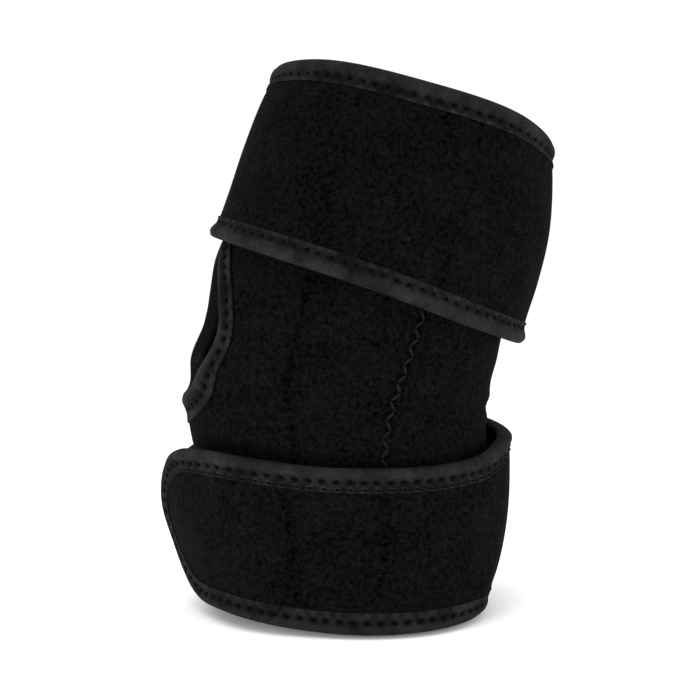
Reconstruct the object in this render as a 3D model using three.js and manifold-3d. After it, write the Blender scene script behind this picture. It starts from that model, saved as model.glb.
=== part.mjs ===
/**
 * Elbow brace: a hollow, bent sleeve of foam-backed knit, with an oval opening at the
 * point of the elbow and two broad wraps, one round the upper arm and one round the
 * forearm. Every cut edge is bound with a folded tape.
 *
 * Sizes are in millimetres and angles in degrees. Z is up and the brace stands on its
 * forearm rim. The point of the elbow faces -X, the upper arm leans towards +X and the
 * front faces -Y. Angles round the arm start at the front and grow towards +X.
 */
import * as THREE from "three";
import { LoftGeometry } from "three/addons/geometries/LoftGeometry.js";
import { mergeVertices } from "three/addons/utils/BufferGeometryUtils.js";
import Module from "manifold-3d";

// The sleeve, measured on its outer face
const SLEEVE_LENGTH = 200; // rim to rim, along the middle of the arm
const SLEEVE_WIDTH = 119; // point of the elbow to its crease
const SLEEVE_DEPTH = 100; // front to back
const SLEEVE_WALL = 3.5;
const ELBOW_BEND = 15.5; // lean of the upper arm
const BEND_HEIGHT = 84; // middle of the bend
const BEND_RUN = 36; // length of sleeve that bends
const RIM_RISE = 5; // the upper rim is cut higher at the front and the back

// The egg-shaped opening at the point of the elbow, its broad end down
const OPENING_HEIGHT = 54;
const OPENING_WIDTH = 54;
const OPENING_CENTRE = 0.53 * SLEEVE_LENGTH; // height along the sleeve
const OPENING_ANGLE = -84;
const OPENING_TILT = 10;
const OPENING_TAPER = 0.3; // how much broader it is below than above, as a share

// The wraps
const UPPER_WRAP_WIDTH = 74;
const LOWER_WRAP_WIDTH = 64;
const WRAP_WALL = 3;
const WRAP_LIFT = 4; // how far a wrap stands off by its own spring
const END_CORNER = 26; // rounding of a wrap's free end
const ROOT_CORNER = 10; // rounding of the end that is sewn down
const CLIMB = 42; // angle over which a wrap climbs onto its own root

// The folded tape that binds each edge
const TAPE = 1;
const TAPE_COVER = 7; // how far it reaches in from the edge
const SLACK = 0.45; // between the tape and what it folds over
const GAP = 0.45; // between one layer and the next

// Facets
const ROUND_STEPS = 36;
const OPENING_STEPS = 32;
const WRAP_STEP = 10; // angle from one section of a wrap to the next
const CORNER_STEPS = 4;

const HEM = SLACK + TAPE; // a bound edge is thicker by this on each side
const EDGE = HEM; // a wall stops this far short of the outside of its binding
const CLEAR_OF_SLEEVE = 2 * HEM + GAP; // a wrap's inner face from the sleeve, with two bindings between
const CLEAR_OF_ROOT = WRAP_WALL + 2 * HEM + GAP; // one turn of a wrap from the next
const MEAN_RADIUS = (SLEEVE_WIDTH + SLEEVE_DEPTH) / 4;

// Sections of the sleeve. at is a share of its length, left and right of half its
// width, and front and back of half its depth. skew is how far the right side is pushed
// forward and the left side back, as a share of the width.
const SECTIONS = [
  { at: 0.0, left: 0.78, right: 0.825, front: 0.9, back: 0.9, skew: 0.18 },
  { at: 0.05, left: 0.81, right: 0.885, front: 0.93, back: 0.93, skew: 0.16 },
  { at: 0.11, left: 0.865, right: 0.935, front: 0.96, back: 0.96, skew: 0.13 },
  { at: 0.2, left: 0.945, right: 0.975, front: 0.99, back: 0.98, skew: 0.08 },
  { at: 0.3, left: 0.96, right: 0.99, front: 1.0, back: 1.0, skew: 0.03 },
  { at: 0.35, left: 1.0, right: 0.985, front: 1.0, back: 1.0, skew: 0.01 },
  { at: 0.4, left: 1.055, right: 0.978, front: 1.0, back: 1.0, skew: 0 },
  { at: 0.44, left: 1.08, right: 0.972, front: 1.0, back: 1.0, skew: 0 },
  { at: 0.49, left: 1.085, right: 0.964, front: 1.0, back: 1.0, skew: 0 },
  { at: 0.55, left: 1.085, right: 0.955, front: 0.99, back: 0.99, skew: 0 },
  { at: 0.61, left: 1.07, right: 0.946, front: 0.98, back: 0.98, skew: 0 },
  { at: 0.67, left: 1.005, right: 0.935, front: 0.975, back: 0.975, skew: 0 },
  { at: 0.74, left: 0.95, right: 0.935, front: 0.97, back: 0.97, skew: 0 },
  { at: 0.84, left: 0.93, right: 0.92, front: 0.95, back: 0.95, skew: 0 },
  { at: 0.94, left: 0.895, right: 0.86, front: 0.92, back: 0.92, skew: 0 },
  { at: 1.0, left: 0.85, right: 0.8, front: 0.88, back: 0.88, skew: 0 },
];

// A wrap's run round the arm, turned from its root. rim and elbow are its two edges,
// measured from the nearer rim of the sleeve as shares of its width. middleLift and
// elbowLift are shares of WRAP_LIFT; the rim edge lies close.
const UPPER_RUN = [
  { turned: 0, rim: 0.02, elbow: 0.93, middleLift: 0.0, elbowLift: 0.0 },
  { turned: 55, rim: 0.01, elbow: 0.96, middleLift: 0.2, elbowLift: 0.2 },
  { turned: 100, rim: 0.0, elbow: 0.99, middleLift: 0.3, elbowLift: 0.3 },
  { turned: 145, rim: -0.01, elbow: 1.04, middleLift: 0.5, elbowLift: 0.2 },
  { turned: 190, rim: -0.02, elbow: 1.03, middleLift: 0.3, elbowLift: 0.2 },
  { turned: 235, rim: 0.01, elbow: 0.98, middleLift: 0.2, elbowLift: 0.2 },
  { turned: 280, rim: -0.02, elbow: 0.95, middleLift: 0.1, elbowLift: 0.1 },
  { turned: 325, rim: -0.02, elbow: 0.93, middleLift: 0.1, elbowLift: 0.0 },
  { turned: 385, rim: 0.01, elbow: 0.95, middleLift: 0.1, elbowLift: 0.0 },
];
const LOWER_RUN = [
  { turned: 0, rim: 0.03, elbow: 0.92, middleLift: 0.0, elbowLift: 0.0 },
  { turned: 48, rim: 0.02, elbow: 0.93, middleLift: 0.0, elbowLift: 0.0 },
  { turned: 93, rim: 0.02, elbow: 1.04, middleLift: 0.2, elbowLift: 0.3 },
  { turned: 138, rim: 0.02, elbow: 1.17, middleLift: 0.5, elbowLift: 0.8 },
  { turned: 183, rim: 0.02, elbow: 1.24, middleLift: 0.7, elbowLift: 1.1 },
  { turned: 228, rim: 0.02, elbow: 1.15, middleLift: 0.7, elbowLift: 0.6 },
  { turned: 263, rim: 0.02, elbow: 1.0, middleLift: 0.4, elbowLift: 0.3 },
  { turned: 318, rim: 0.02, elbow: 0.98, middleLift: 0.2, elbowLift: 0.1 },
  { turned: 363, rim: 0.04, elbow: 1.07, middleLift: 0.1, elbowLift: 0.0 },
  { turned: 400, rim: 0.08, elbow: 1.07, middleLift: 0.1, elbowLift: 0.0 },
];

// Each wrap is sewn down at its root and goes round by the back, the crease of the
// elbow and the front. The upper one fastens behind, the lower one at the side.
const UPPER_WRAP = {
  run: UPPER_RUN,
  width: UPPER_WRAP_WIDTH,
  alongFromRim: (distance) => SLEEVE_LENGTH - distance,
  rootAngle: 235,
  overlap: 25,
};
const LOWER_WRAP = {
  run: LOWER_RUN,
  width: LOWER_WRAP_WIDTH,
  alongFromRim: (distance) => distance,
  rootAngle: 318,
  overlap: 40,
};

const { clamp, degToRad, lerp, radToDeg, smoothstep } = THREE.MathUtils;
const wasm = await Module();
wasm.setup();

// The row of a table that a value follows, and how far it is on the way to the next.
function placeIn(table, key, value) {
  const within = clamp(value, table[0][key], table.at(-1)[key]);
  const i = Math.min(table.findLastIndex((row) => row[key] <= within), table.length - 2);
  return { i, t: (within - table[i][key]) / (table[i + 1][key] - table[i][key]) };
}

// A column of a table read along straight lines between its rows.
function readStraight(table, key, column, value) {
  const { i, t } = placeIn(table, key, value);
  return lerp(table[i][column], table[i + 1][column], t);
}

// A column of a table read along a smooth curve through its rows.
function readSmooth(table, key, column, value) {
  const { i, t } = placeIn(table, key, value);
  const slope = (k) => {
    const before = table[Math.max(k - 1, 0)];
    const after = table[Math.min(k + 1, table.length - 1)];
    return (after[column] - before[column]) / (after[key] - before[key]);
  };
  const run = table[i + 1][key] - table[i][key];
  return (
    table[i][column] * (2 * t ** 3 - 3 * t ** 2 + 1) +
    slope(i) * run * (t ** 3 - 2 * t ** 2 + t) +
    table[i + 1][column] * (3 * t ** 2 - 2 * t ** 3) +
    slope(i + 1) * run * (t ** 3 - t ** 2)
  );
}

// The middle of the arm at a distance along it, and the lean of the section there.
// The lean grows evenly over the bend, so the middle line is an arc between two straights.
function armAt(along) {
  const radius = BEND_RUN / degToRad(ELBOW_BEND);
  const start = BEND_HEIGHT - BEND_RUN / 2;
  const lean = clamp(along - start, 0, BEND_RUN) / radius;
  const beyond = Math.max(0, along - start - BEND_RUN);
  const x = radius * (1 - Math.cos(lean)) + beyond * Math.sin(lean);
  const z = Math.min(along, start) + radius * Math.sin(lean) + beyond * Math.cos(lean);
  return { middle: new THREE.Vector3(x, 0, z), lean };
}

// A point at an angle round the arm and a distance along it, off the sleeve's outer face.
// Each section is four quarter ellipses, pushed askew, and the offset is square to them.
function onArm(angle, along, offset) {
  const across = Math.sin(degToRad(angle));
  const forward = Math.cos(degToRad(angle));
  const rise = RIM_RISE * forward ** 2 * smoothstep(along, BEND_HEIGHT + BEND_RUN, SLEEVE_LENGTH);
  const { middle, lean } = armAt(along + rise);
  const share = (column) => readStraight(SECTIONS, "at", column, along / SLEEVE_LENGTH);
  const width = (share(across < 0 ? "left" : "right") * SLEEVE_WIDTH) / 2;
  const depth = (share(forward < 0 ? "back" : "front") * SLEEVE_DEPTH) / 2;
  const skew = share("skew");
  const square = new THREE.Vector2(depth * across - skew * width * forward, width * forward).normalize();
  const right = new THREE.Vector3(Math.cos(lean), 0, -Math.sin(lean));
  const front = new THREE.Vector3(0, -1, 0);
  return middle
    .addScaledVector(right, width * across + offset * square.x)
    .addScaledVector(front, depth * forward + skew * width * across + offset * square.y);
}

// The section of a folded tape over a wall between two faces. inset is measured in from
// the wall's edge, and offset square to the wall. Each leg is drawn in equal steps.
function tapeSection(inner, outer, legSteps = 1) {
  const leg = (edge, offset) =>
    Array.from({ length: legSteps + 1 }, (_, i) => ({ inset: lerp(edge, TAPE_COVER, i / legSteps), offset }));
  return [
    ...leg(-HEM, outer + HEM).toReversed(),
    ...leg(-HEM, inner - HEM),
    ...leg(-SLACK, inner - SLACK).toReversed(),
    ...leg(-SLACK, outer + SLACK),
  ];
}

// A closed ring lofted through sections, the last one meeting the first.
function ring(sections) {
  return new LoftGeometry([...sections, sections[0]]);
}

// The same closed surface with its seams joined and its faces turned outwards.
function weld(geometry) {
  const bare = new THREE.BufferGeometry().copy(geometry);
  bare.deleteAttribute("normal");
  bare.deleteAttribute("uv");
  const welded = mergeVertices(bare, 1e-4);
  const corners = welded.index.array;
  const [a, b, c] = [0, 1, 2].map(() => new THREE.Vector3());
  let volume = 0;
  for (let i = 0; i < corners.length; i += 3) {
    [a, b, c].forEach((corner, k) => corner.fromBufferAttribute(welded.attributes.position, corners[i + k]));
    volume += a.dot(b.cross(c)) / 6;
  }
  if (volume < 0) corners.reverse();
  return welded;
}

function solidOf(geometry) {
  const { attributes, index } = weld(geometry);
  return new wasm.Manifold(
    new wasm.Mesh({
      numProp: 3,
      vertProperties: attributes.position.array,
      triVerts: new Uint32Array(index.array),
    }),
  );
}

function geometryOf(solid) {
  const { vertProperties, triVerts } = solid.getMesh();
  return new THREE.BufferGeometry()
    .setAttribute("position", new THREE.BufferAttribute(vertProperties, 3))
    .setIndex(new THREE.BufferAttribute(triVerts, 1));
}

const roundAngles = Array.from({ length: ROUND_STEPS }, (_, i) => (i * 360) / ROUND_STEPS);

// The outline of the elbow opening on the sleeve, grown by a distance.
function openingOutline(growth, offset) {
  const tilt = degToRad(OPENING_TILT);
  return Array.from({ length: OPENING_STEPS }, (_, i) => {
    const turn = (i * 2 * Math.PI) / OPENING_STEPS;
    const taper = 1 - OPENING_TAPER * Math.sin(turn);
    const across = (taper * OPENING_WIDTH * Math.cos(turn)) / 2;
    const up = (OPENING_HEIGHT * Math.sin(turn)) / 2;
    const square = new THREE.Vector2(across / OPENING_WIDTH ** 2, up / OPENING_HEIGHT ** 2).normalize();
    const grown = new THREE.Vector2(across, up).addScaledVector(square, growth);
    grown.rotateAround(new THREE.Vector2(), tilt);
    const angle = OPENING_ANGLE + radToDeg(grown.x / MEAN_RADIUS);
    return onArm(angle, OPENING_CENTRE + grown.y, offset);
  });
}

function sleeveGeometry() {
  const heights = SECTIONS.map(({ at }) => clamp(at * SLEEVE_LENGTH, EDGE, SLEEVE_LENGTH - EDGE));
  const wall = ring(
    roundAngles.map((angle) => [
      ...heights.map((along) => onArm(angle, along, 0)),
      ...heights.toReversed().map((along) => onArm(angle, along, -SLEEVE_WALL)),
    ]),
  );
  const reach = OPENING_WIDTH / 2;
  const cutter = new LoftGeometry(
    [-reach, -SLEEVE_WALL, 0, reach].map((offset) => openingOutline(0, offset)),
    { capStart: true, capEnd: true },
  );
  return geometryOf(solidOf(wall).subtract(solidOf(cutter)));
}

function rimBindingGeometry(alongFromRim) {
  const section = tapeSection(-SLEEVE_WALL, 0);
  return ring(
    roundAngles.map((angle) =>
      section.map(({ inset, offset }) => onArm(angle, alongFromRim(EDGE + inset), offset)),
    ),
  );
}

function openingBindingGeometry() {
  const section = tapeSection(-SLEEVE_WALL, 0, 2);
  const outlines = section.map(({ inset, offset }) => openingOutline(inset, offset));
  return ring(outlines[0].map((_, i) => outlines.map((outline) => outline[i])));
}

function wrapLength(wrap) {
  return degToRad(wrap.run.at(-1).turned) * MEAN_RADIUS;
}

// A column of a wrap's table at a distance from its root.
function wrapColumn(wrap, column, run) {
  return readSmooth(wrap.run, "turned", column, radToDeg(run / MEAN_RADIUS));
}

function wrapWidthAt(wrap, run) {
  return (wrapColumn(wrap, "elbow", run) - wrapColumn(wrap, "rim", run)) * wrap.width - 2 * EDGE;
}

// A point of a wrap laid round the arm: run in millimetres from its root, across in
// millimetres from its rim edge, and offset from its inner face.
function onWrap(wrap, run, across, offset) {
  const turned = radToDeg(run / MEAN_RADIUS);
  const share = across / wrapWidthAt(wrap, run);
  const along = wrap.alongFromRim(EDGE + wrapColumn(wrap, "rim", run) * wrap.width + across);
  const lift =
    wrapColumn(wrap, "middleLift", run) * 4 * share * (1 - share) +
    wrapColumn(wrap, "elbowLift", run) * share * (2 * share - 1);
  const overRoot = wrap.run.at(-1).turned - wrap.overlap;
  const layer = smoothstep(turned, overRoot - CLIMB, overRoot);
  const stand = CLEAR_OF_SLEEVE + lift * WRAP_LIFT + layer * CLEAR_OF_ROOT;
  return onArm(wrap.rootAngle - turned, along, stand + offset);
}

// Stations down one long edge of a wrap, with its rounded corners: run from the root and
// how far in from the long edge, for an outline that is drawn in by an inset.
function wrapStations(wrap, inset) {
  const corner = (radius, i) => {
    const turn = (i * Math.PI) / 2 / CORNER_STEPS;
    const drawn = radius - inset;
    return { run: radius - drawn * Math.cos(turn), drawnIn: radius - drawn * Math.sin(turn) };
  };
  const length = wrapLength(wrap);
  const root = Array.from({ length: CORNER_STEPS + 1 }, (_, i) => corner(ROOT_CORNER, i));
  const end = Array.from({ length: CORNER_STEPS + 1 }, (_, i) => {
    const { run, drawnIn } = corner(END_CORNER, CORNER_STEPS - i);
    return { run: length - run, drawnIn };
  });
  const steps = Math.round(wrap.run.at(-1).turned / WRAP_STEP);
  const middle = Array.from({ length: steps - 1 }, (_, i) => ({
    run: lerp(ROOT_CORNER, length - END_CORNER, (i + 1) / steps),
    drawnIn: inset,
  }));
  return [...root, ...middle, ...end];
}

// Rows across a wrap: distances from its rim edge, close together at its two hems.
function wrapRows(wrap, run, drawnIn) {
  const width = wrapWidthAt(wrap, run);
  const hem = TAPE_COVER / wrap.width;
  return [0, hem, 0.3, 0.5, 0.7, 1 - hem, 1].map((share) => lerp(drawnIn, width - drawnIn, share));
}

function wrapGeometry(wrap) {
  const section = ({ run, drawnIn }, inner, outer) => {
    const rows = wrapRows(wrap, run, drawnIn);
    return [
      ...rows.map((across) => onWrap(wrap, run, across, inner)),
      ...rows.toReversed().map((across) => onWrap(wrap, run, across, outer)),
    ];
  };
  const stations = wrapStations(wrap, 0);
  const closing = (station) => section(station, WRAP_WALL / 2, WRAP_WALL / 2);
  return new LoftGeometry([
    closing(stations[0]),
    ...stations.map((station) => section(station, 0, WRAP_WALL)),
    closing(stations.at(-1)),
  ]);
}

function wrapBindingGeometry(wrap) {
  const outlines = tapeSection(0, WRAP_WALL).map(({ inset, offset }) => {
    const stations = wrapStations(wrap, inset);
    const acrossEnd = ({ run, drawnIn }) =>
      wrapRows(wrap, run, drawnIn)
        .slice(2, -2)
        .map((across) => ({ run, across }));
    const rimSide = stations.map(({ run, drawnIn }) => ({ run, across: drawnIn }));
    const elbowSide = stations.map(({ run, drawnIn }) => ({ run, across: wrapWidthAt(wrap, run) - drawnIn }));
    return [
      ...rimSide,
      ...acrossEnd(stations.at(-1)),
      ...elbowSide.toReversed(),
      ...acrossEnd(stations[0]).toReversed(),
    ].map(({ run, across }) => onWrap(wrap, run, across, offset));
  });
  return ring(outlines[0].map((_, i) => outlines.map((outline) => outline[i])));
}

const knit = new THREE.MeshStandardMaterial({ color: 0x151515, roughness: 0.95, metalness: 0 });
const tape = new THREE.MeshStandardMaterial({ color: 0x262626, roughness: 0.8, metalness: 0 });

function piece(name, geometry, material) {
  const mesh = new THREE.Mesh(geometryOf(solidOf(geometry)), material);
  mesh.name = name;
  return mesh;
}

const brace = new THREE.Group();
brace.add(
  piece("sleeve", sleeveGeometry(), knit),
  piece("lower_rim_binding", rimBindingGeometry((distance) => distance), tape),
  piece("upper_rim_binding", rimBindingGeometry((distance) => SLEEVE_LENGTH - distance), tape),
  piece("elbow_opening_binding", openingBindingGeometry(), tape),
  piece("upper_wrap", wrapGeometry(UPPER_WRAP), knit),
  piece("upper_wrap_binding", wrapBindingGeometry(UPPER_WRAP), tape),
  piece("lower_wrap", wrapGeometry(LOWER_WRAP), knit),
  piece("lower_wrap_binding", wrapBindingGeometry(LOWER_WRAP), tape),
);

// The origin is under the middle of the whole brace.
const centre = new THREE.Box3().setFromObject(brace).getCenter(new THREE.Vector3());
brace.position.set(-centre.x, -centre.y, 0);

export default brace;
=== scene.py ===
"""An elbow brace of black loop fabric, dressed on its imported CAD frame.

The arm is described as in the CAD: a middle line that bends once, and sections of four
quarter ellipses round it. A place on the brace is an angle round the arm in degrees, a
distance along it in millimetres and an offset off the sleeve's outer face. Every piece is
a surface over such places, worked out as whole arrays.
"""

import bpy
import numpy as np
from bpy.props import FloatProperty, FloatVectorProperty, PointerProperty, StringProperty
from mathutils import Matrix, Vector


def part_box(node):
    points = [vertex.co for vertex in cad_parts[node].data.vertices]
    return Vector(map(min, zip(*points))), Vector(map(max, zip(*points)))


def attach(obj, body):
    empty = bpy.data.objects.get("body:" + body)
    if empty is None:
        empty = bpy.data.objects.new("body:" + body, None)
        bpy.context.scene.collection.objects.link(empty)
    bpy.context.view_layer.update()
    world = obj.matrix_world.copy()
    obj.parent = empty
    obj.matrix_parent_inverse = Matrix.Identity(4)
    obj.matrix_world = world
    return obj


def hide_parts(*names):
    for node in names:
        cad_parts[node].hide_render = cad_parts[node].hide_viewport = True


bl_info = {
    "name": "Elbow Brace",
    "version": (1, 0, 0),
    "blender": (4, 5, 0),
    "location": "View3D > Sidebar > Brace",
    "description": "Builds a wrap-on elbow brace with bound edges and stitching",
    "category": "Object",
}

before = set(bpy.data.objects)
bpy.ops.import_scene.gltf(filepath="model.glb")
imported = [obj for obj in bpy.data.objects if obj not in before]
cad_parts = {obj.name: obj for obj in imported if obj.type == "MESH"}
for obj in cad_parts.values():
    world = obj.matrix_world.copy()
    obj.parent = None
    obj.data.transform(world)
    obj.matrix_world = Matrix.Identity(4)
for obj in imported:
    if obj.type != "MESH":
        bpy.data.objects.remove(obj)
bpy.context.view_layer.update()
MM = 0.001

# The arm and the pieces, in millimetres and degrees. They are the CAD's own, but the
# opening, the sag of the rim and some rows of the tables follow the photograph more closely.
SLEEVE_LENGTH = 200.0
SLEEVE_WIDTH = 119.0
SLEEVE_DEPTH = 100.0
SLEEVE_WALL = 3.5
ELBOW_BEND = 15.5
BEND_HEIGHT = 84.0
BEND_RUN = 36.0
RIM_RISE = 5.0
RIM_SAG = 3.0
SAG_ANGLE = -45.0  # where the rim has sagged off the floor, how far round, and up to where
SAG_REACH = 30.0
SAG_END = 60.0
OPENING_HEIGHT = 51.2
OPENING_WIDTH = 49.6
OPENING_CENTRE = 104.0
OPENING_ANGLE = -81.8
OPENING_TILT = 6.1
OPENING_TAPER = 0.54
OPENING_POWER = 0.89
OPENING_CUT = 2.0  # the cloth ends this far under the tape
WRAP_WALL = 3.0
WRAP_LIFT = 4.0
END_CORNER = 26.0
ROOT_CORNER = 10.0
CLIMB = 42.0
TAPE = 1.0
TAPE_COVER = 7.0
SLACK = 0.45
GAP = 0.45
HEM = SLACK + TAPE
CLEAR_OF_SLEEVE = 2 * HEM + GAP
CLEAR_OF_ROOT = WRAP_WALL + 2 * HEM + GAP
MEAN_RADIUS = (SLEEVE_WIDTH + SLEEVE_DEPTH) / 4

# The cloth's own forms, in millimetres and degrees
WAVE_HEIGHT = 0.3
WAVE_LENGTH = 40.0
STILL_RIM = 12.0  # the sleeve has no waves this near a rim, and they set in over the fade
STILL_FADE = 25.0
BEND_ANGLE = 90.0  # the creases across the inner side of the bend: where, and how far apart
BEND_ALONG = 92.0
BEND_PITCH = 17.0
SEAM_DEPTH = 0.55  # of a seam's groove, and height of the puff on both sides of it
SEAM_PUFF = 0.25
WRAP_WAVE_HEIGHT = 0.35
WRAP_WAVE_LENGTH = 46.0
CREASE_ANGLE = -15.5  # the middle of the lower wrap's short crease
CREASE_ALONG = 40.0
FOLD_ANGLE = 67.0  # of the lower wrap's long fold at the rim, and how much it leans
FOLD_LEAN = 0.06
FOLD_HEIGHT = 0.8
PRESSED = 0.75  # how far stitching presses the cloth down under its tape

# The stitched tape, in millimetres
FOLD_RADIUS = 2.2
THIN_HEM = 0.45  # height of the outer leg at its hem
DIMPLE_RUN = 1.25  # how far a dimple reaches along the tape, and across it
DIMPLE_REACH = 1.05
GROOVE = 0.22  # depth of the groove that a row of stitches draws
GROOVE_REACH = 1.4
HEM_PUFF = 0.25  # how far the hem puffs up between stitches, and creeps outwards
HEM_CREEP = 0.7
STITCH_WIDTH = 1.4
STITCH_HEIGHT = 0.8
STITCH_RISE = 0.35  # middle of a thread over the bottom of its dimple
STITCH_JITTER = 0.2
RIM_ROW = 4.0  # distance of each row of stitches from its edge
OPENING_ROW = 3.6
UPPER_WRAP_ROW = 4.7
LOWER_WRAP_ROW = 3.4
SECOND_ROW = 6.2

# How finely the pieces are divided
SLEEVE_STEPS = 288
SLEEVE_ROWS = 168
RIM_STEPS = 420
OPENING_STEPS = 240
WRAP_STEPS = 280
WRAP_CORNER_STEPS = 12
WRAP_ROWS = 56  # on each of a wrap's two sides
EDGE_SPACING = 0.75  # between stations round a wrap, in millimetres
LEG_POINTS = 19  # of a tape's section: on its outer leg, each arc and its inner leg
ARC_POINTS = 5
BACK_POINTS = 7
FOLD_TOP = LEG_POINTS + 2  # the section's point just past the top of the fold
INNER_LEG = LEG_POINTS + 2 * ARC_POINTS  # and where its inner leg starts
STITCH_ROUND = 8  # points round a stitch, and rings along it
STITCH_RINGS = 7
SINES = 9
WAVE = 0.314  # a wave texture's bands are this far apart at scale 1

# The studio, in metres and watts: each light's place, power and size
LIGHTS = (
    ("Key", (-0.4, -0.6, 1.2), 7, 0.8),
    ("Top", (0.0, 0.05, 1.3), 5, 0.5),
    ("Fill", (0.5, -1.1, 0.2), 2.5, 0.9),
    ("Low left", (-0.21, -0.17, 0.02), 0.6, 0.1),
    ("Low right", (0.21, -0.17, 0.02), 0.6, 0.1),
    ("Left edge", (-1.0, 0.35, 0.12), 2.2, 0.6),
    ("Right edge", (1.0, 0.35, 0.12), 1.8, 0.6),
)
WORLD_STRENGTH = 1.05
FLOOR_HALF = 6
LOOKED_AT = np.array([-0.0022, 0, 0.1019])
SENSOR = 36  # in millimetres
PICTURE_WIDTH = 700  # in pixels, and what the photograph's focal length comes to in them
FOCAL_PIXELS = 1250


def table(columns, rows):
    """The columns of a table by name, as arrays."""
    return dict(zip(columns.split(), np.array(rows, float).T))


SECTIONS = table(
    "at left right front back skew",
    [
        (0.00, 0.780, 0.825, 0.900, 0.900, 0.18),
        (0.05, 0.810, 0.885, 0.930, 0.930, 0.16),
        (0.11, 0.865, 0.935, 0.960, 0.960, 0.13),
        (0.20, 0.945, 0.975, 0.990, 0.980, 0.08),
        (0.30, 0.960, 0.990, 1.000, 1.000, 0.03),
        (0.35, 1.000, 0.985, 1.000, 1.000, 0.01),
        (0.40, 1.047, 0.978, 1.000, 1.000, 0.00),
        (0.44, 1.120, 0.972, 1.000, 1.000, 0.00),
        (0.49, 1.065, 0.964, 1.000, 1.000, 0.00),
        (0.55, 1.045, 0.955, 0.990, 0.990, 0.00),
        (0.61, 1.025, 0.946, 0.980, 0.980, 0.00),
        (0.67, 0.978, 0.935, 0.975, 0.975, 0.00),
        (0.74, 0.950, 0.935, 0.970, 0.970, 0.00),
        (0.84, 0.930, 0.920, 0.950, 0.950, 0.00),
        (0.94, 0.895, 0.860, 0.920, 0.920, 0.00),
        (1.00, 0.850, 0.800, 0.880, 0.880, 0.00),
    ],
)
UPPER_RUN = table(
    "turned rim elbow middle edge",
    [
        (0, 0.02, 0.93, 0.0, 0.0),
        (55, 0.01, 0.96, 0.2, 0.2),
        (100, 0.00, 0.99, 0.3, 0.3),
        (145, -0.01, 1.04, 0.5, 0.2),
        (190, -0.02, 1.03, 0.3, 0.2),
        (235, 0.01, 0.98, 0.2, 0.2),
        (280, -0.02, 0.95, 0.1, 0.1),
        (325, -0.02, 0.93, 0.1, 0.0),
        (385, 0.01, 0.95, 0.1, 0.0),
    ],
)
LOWER_RUN = table(
    "turned rim elbow middle edge",
    [
        (0, 0.03, 0.92, 0.0, 0.0),
        (48, 0.02, 0.93, 0.0, 0.0),
        (93, 0.02, 1.04, 0.2, 0.3),
        (138, 0.02, 1.17, 0.5, 0.8),
        (183, 0.02, 1.24, 0.7, 1.1),
        (228, 0.02, 1.15, 0.7, 0.6),
        (263, 0.02, 1.00, 0.4, 0.3),
        (318, 0.02, 0.98, 0.2, 0.1),
        (363, 0.04, 1.05, 0.1, 0.0),
        (400, 0.08, 1.00, 0.1, 0.0),
    ],
)
UPPER_WRAP = {
    "name": "upper",
    "run": UPPER_RUN,
    "width": 74.0,
    "root": 235.0,
    "overlap": 25.0,
    "upper": True,
}
LOWER_WRAP = {
    "name": "lower",
    "run": LOWER_RUN,
    "width": 64.0,
    "root": 318.0,
    "overlap": 40.0,
    "upper": False,
}

# The sleeve is made of panels, and their two front seams run up at about these angles
SEAMS = table("along left right", [(0, -13, 15), (70, -16, 17), (110, -20, 21), (200, -22, 24)])


def smooth(rows, key, column, value):
    """A cubic through the rows of a table, each row's slope that of the chord past it."""
    x, y = rows[key], rows[column]
    slope = np.gradient(y, x)
    slope[1:-1] = (y[2:] - y[:-2]) / (x[2:] - x[:-2])
    value = np.clip(value, x[0], x[-1])
    i = np.clip(np.searchsorted(x, value, side="right") - 1, 0, len(x) - 2)
    run = x[i + 1] - x[i]
    t = (value - x[i]) / run
    return (
        y[i] * (2 * t**3 - 3 * t**2 + 1)
        + slope[i] * run * (t**3 - 2 * t**2 + t)
        + y[i + 1] * (3 * t**2 - 2 * t**3)
        + slope[i + 1] * run * (t**3 - t**2)
    )


def ease(value, start, end):
    """0 before start, 1 after end, and 3t^2 - 2t^3 between them."""
    t = np.clip((value - start) / (end - start), 0, 1)
    return t * t * (3 - 2 * t)


def bell(value, reach):
    """1 at 0, falling off softly over the reach."""
    return np.exp(-((value / reach) ** 2))


def angle_from(angle, middle):
    """How far an angle is from a middle one, the short way round: from -180 to 180."""
    return (angle - middle + 180) % 360 - 180


def arm_at(along):
    """The middle line: straight up, an arc over the bend, then straight along its lean."""
    radius = BEND_RUN / np.radians(ELBOW_BEND)
    start = BEND_HEIGHT - BEND_RUN / 2
    lean = np.clip(along - start, 0, BEND_RUN) / radius
    beyond = np.maximum(0, along - start - BEND_RUN)
    x = radius * (1 - np.cos(lean)) + beyond * np.sin(lean)
    z = np.minimum(along, start) + radius * np.sin(lean) + beyond * np.cos(lean)
    return x, z, lean


def on_arm(angle, along, offset):
    """The middle line, plus width times sine of the angle across and depth times its cosine
    to the front, plus the offset square to that section."""
    place = (np.asarray(v, float) for v in (angle, along, offset))
    angle, along, offset = np.broadcast_arrays(*place)
    across, forward = np.sin(np.radians(angle)), np.cos(np.radians(angle))
    rise = RIM_RISE * forward**2 * ease(along, BEND_HEIGHT + BEND_RUN, SLEEVE_LENGTH)
    x, z, lean = arm_at(along + rise)
    share = {name: smooth(SECTIONS, "at", name, along / SLEEVE_LENGTH) for name in SECTIONS}
    width = np.where(across < 0, share["left"], share["right"]) * SLEEVE_WIDTH / 2
    depth = np.where(forward < 0, share["back"], share["front"]) * SLEEVE_DEPTH / 2
    square = np.stack([depth * across - share["skew"] * width * forward, width * forward])
    square /= np.linalg.norm(square, axis=0)
    right = width * across + offset * square[0]
    front = depth * forward + share["skew"] * width * across + offset * square[1]
    # The forearm rim has sagged out of true: its left front stands off the floor
    sag = RIM_SAG * bell(angle_from(angle, SAG_ANGLE), SAG_REACH) * (1 - ease(along, 0, SAG_END))
    return np.stack([x + right * np.cos(lean), -front, z - right * np.sin(lean) + sag], axis=-1)


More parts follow.
